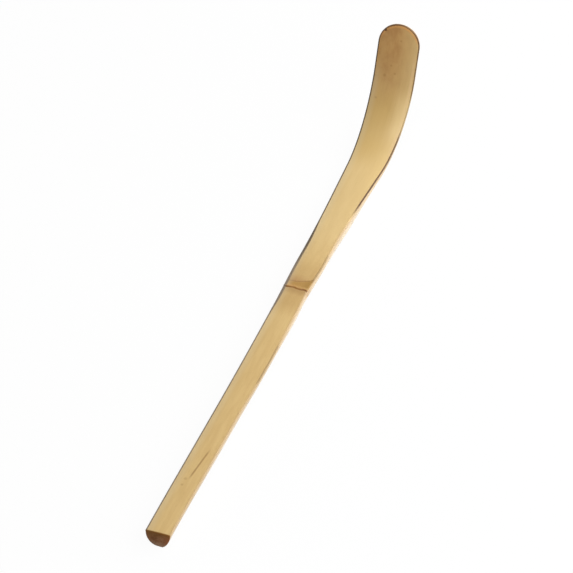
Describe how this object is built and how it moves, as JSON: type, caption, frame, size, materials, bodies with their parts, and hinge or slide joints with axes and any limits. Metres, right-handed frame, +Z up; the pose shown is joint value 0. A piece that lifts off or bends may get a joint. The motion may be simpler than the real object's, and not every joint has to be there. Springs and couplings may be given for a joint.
{
  "type": "bamboo tea scoop",
  "caption": "Slim bamboo scoop for powdered tea: a flat-topped, round-bellied handle with a node halfway, widening into an upturned bowl with a round tip.",
  "frame": {"origin": "on the surface that the scoop lies on, below the middle of its box", "axes": "+X from the cut end of the handle to the tip of the bowl, +Y to the left, +Z up, with the scoop lying on its belly"},
  "size_m": [0.166, 0.0112, 0.0303],
  "materials": {
    "wood": "carved bamboo flesh, pale cream tan, matt, with lengthwise fibres and a dark brown end grain",
    "skin": "bamboo skin, golden tan, satin, with fine lengthwise grain",
    "node": "dense node wood, darker tan, matt",
    "scar": "sheath scar, orange brown with a dark brown line, satin"
  },
  "bodies": {
    "root": {"handle_wood": "wood", "handle_skin": "skin", "node_wood": "node", "node_scar": "scar", "bowl_wood": "wood", "bowl_skin": "skin"}
  },
  "joints": []
}
